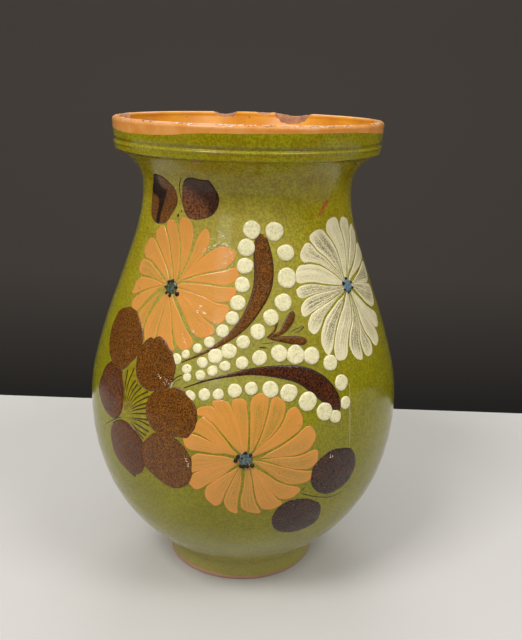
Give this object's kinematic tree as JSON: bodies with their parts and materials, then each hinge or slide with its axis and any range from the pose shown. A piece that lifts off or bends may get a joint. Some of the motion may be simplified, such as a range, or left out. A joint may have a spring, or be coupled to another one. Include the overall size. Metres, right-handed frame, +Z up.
{
  "type": "jug",
  "caption": "Round-bellied thrown clay jug with waisted neck, upright grooved collar rim, low foot, pulled strap handle and a slip bouquet of daisies, leaves and beads on its front wall.",
  "frame": {"origin": "middle of the flat base, on the surface that the jug stands on", "axes": "+Z up along the axis of the thrown pot, -Y towards the bouquet, +Y towards the handle, +X to the right of someone who looks at the bouquet"},
  "size_m": [0.1506, 0.1843, 0.22],
  "materials": {
    "green_glaze": "glossy transparent green glaze over red clay, mottled",
    "orange_slip": "orange slip under glossy glaze",
    "cream_slip": "cream slip under glossy glaze",
    "brown_slip": "dark brown slip under glossy glaze",
    "blue_slip": "grey blue slip under glossy glaze"
  },
  "bodies": {
    "root": {"pot_body": "green_glaze", "strap_handle": "green_glaze", "upper_orange_daisy": "orange_slip", "lower_orange_daisy": "orange_slip", "cream_daisy": "cream_slip", "upper_left_bead_01": "cream_slip", "upper_left_bead_02": "cream_slip", "upper_left_bead_03": "cream_slip", "upper_left_bead_04": "cream_slip", "upper_left_bead_05": "cream_slip", "upper_left_bead_06": "cream_slip", "upper_left_bead_07": "cream_slip", "upper_left_bead_08": "cream_slip", "upper_left_bead_09": "cream_slip", "upper_left_bead_10": "cream_slip", "upper_left_bead_11": "cream_slip", "upper_right_bead_01": "cream_slip", "upper_right_bead_02": "cream_slip", "upper_right_bead_03": "cream_slip", "upper_right_bead_04": "cream_slip", "upper_right_bead_05": "cream_slip", "upper_right_bead_06": "cream_slip", "upper_right_bead_07": "cream_slip", "upper_right_bead_08": "cream_slip", "upper_right_bead_09": "cream_slip", "upper_right_bead_10": "cream_slip", "lower_upper_bead_01": "cream_slip", "lower_upper_bead_02": "cream_slip", "lower_upper_bead_03": "cream_slip", "lower_upper_bead_04": "cream_slip", "lower_upper_bead_05": "cream_slip", "lower_upper_bead_06": "cream_slip", "lower_upper_bead_07": "cream_slip", "lower_upper_bead_08": "cream_slip", "lower_upper_bead_09": "cream_slip", "lower_lower_bead_01": "cream_slip", "lower_lower_bead_02": "cream_slip", "lower_lower_bead_03": "cream_slip", "lower_lower_bead_04": "cream_slip", "lower_lower_bead_05": "cream_slip", "lower_lower_bead_06": "cream_slip", "lower_lower_bead_07": "cream_slip", "lower_lower_bead_08": "cream_slip", "lower_lower_bead_09": "cream_slip", "upper_plume": "brown_slip", "lower_plume": "brown_slip", "sprig": "brown_slip", "brown_petal_top": "brown_slip", "brown_petal_upright": "brown_slip", "brown_petal_left": "brown_slip", "brown_petal_right": "brown_slip", "brown_petal_lower_left": "brown_slip", "brown_petal_lower_right": "brown_slip", "upper_leaf_left": "brown_slip", "upper_leaf_right": "brown_slip", "lower_leaf_right": "brown_slip", "lower_leaf_left": "brown_slip", "upper_orange_daisy_eye": "blue_slip", "lower_orange_daisy_eye": "blue_slip", "cream_daisy_eye": "blue_slip"}
  },
  "joints": []
}
